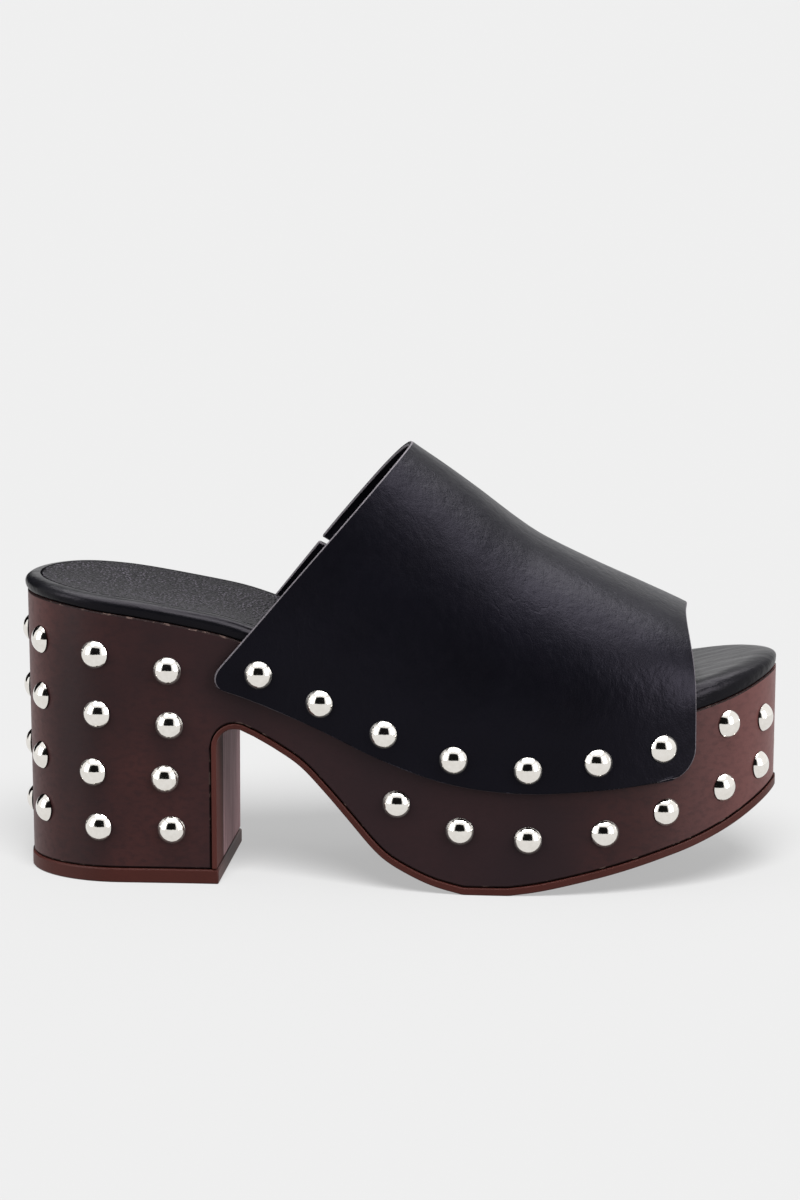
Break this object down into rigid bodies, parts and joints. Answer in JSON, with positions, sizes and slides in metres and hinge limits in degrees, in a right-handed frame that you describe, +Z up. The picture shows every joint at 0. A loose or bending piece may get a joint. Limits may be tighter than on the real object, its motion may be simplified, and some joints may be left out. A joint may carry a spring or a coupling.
{
  "type": "platform sandal",
  "caption": "Slip-on mule with a thick platform and high block heel, a wide open-toed upper over the instep, and polished dome studs along its edges",
  "frame": {"origin": "on the floor, at the centre of the heel's round", "axes": "+X to the toe, +Y to the shoe's medial side, +Z up"},
  "size_m": [0.2473, 0.0951, 0.1407],
  "materials": {
    "platform": "satin, stained dark brown",
    "outsole": "satin, reddish brown",
    "footbed": "smooth satin",
    "sock": "fine grain, soft matt",
    "upper": "smooth satin, blue-black",
    "stud": "polished"
  },
  "bodies": {
    "root": {"sole_body": "platform", "outsole": "outsole", "heel_lift": "outsole", "footbed": "footbed", "sock": "sock", "upper": "upper", "stud_heel_1_1": "stud", "stud_heel_1_2": "stud", "stud_heel_1_3": "stud", "stud_heel_1_4": "stud", "stud_heel_2_1": "stud", "stud_heel_2_2": "stud", "stud_heel_2_3": "stud", "stud_heel_2_4": "stud", "stud_heel_3_1": "stud", "stud_heel_3_2": "stud", "stud_heel_3_3": "stud", "stud_heel_3_4": "stud", "stud_heel_4_1": "stud", "stud_heel_4_2": "stud", "stud_heel_4_3": "stud", "stud_heel_4_4": "stud", "stud_heel_5_1": "stud", "stud_heel_5_2": "stud", "stud_heel_5_3": "stud", "stud_heel_5_4": "stud", "stud_heel_6_1": "stud", "stud_heel_6_2": "stud", "stud_heel_6_3": "stud", "stud_heel_6_4": "stud", "stud_heel_7_1": "stud", "stud_heel_7_2": "stud", "stud_heel_7_3": "stud", "stud_heel_7_4": "stud", "stud_lap_lateral_1": "stud", "stud_lap_lateral_2": "stud", "stud_lap_lateral_3": "stud", "stud_lap_lateral_4": "stud", "stud_lap_lateral_5": "stud", "stud_lap_lateral_6": "stud", "stud_lap_lateral_7": "stud", "stud_lap_medial_1": "stud", "stud_lap_medial_2": "stud", "stud_lap_medial_3": "stud", "stud_lap_medial_4": "stud", "stud_lap_medial_5": "stud", "stud_lap_medial_6": "stud", "stud_lap_medial_7": "stud", "stud_toe_upper_1": "stud", "stud_toe_upper_2": "stud", "stud_toe_upper_3": "stud", "stud_toe_upper_4": "stud", "stud_toe_lower_1": "stud", "stud_toe_lower_2": "stud", "stud_toe_lower_3": "stud", "stud_lower_lateral_1": "stud", "stud_lower_lateral_2": "stud", "stud_lower_lateral_3": "stud", "stud_lower_lateral_4": "stud", "stud_lower_lateral_5": "stud"}
  },
  "joints": []
}
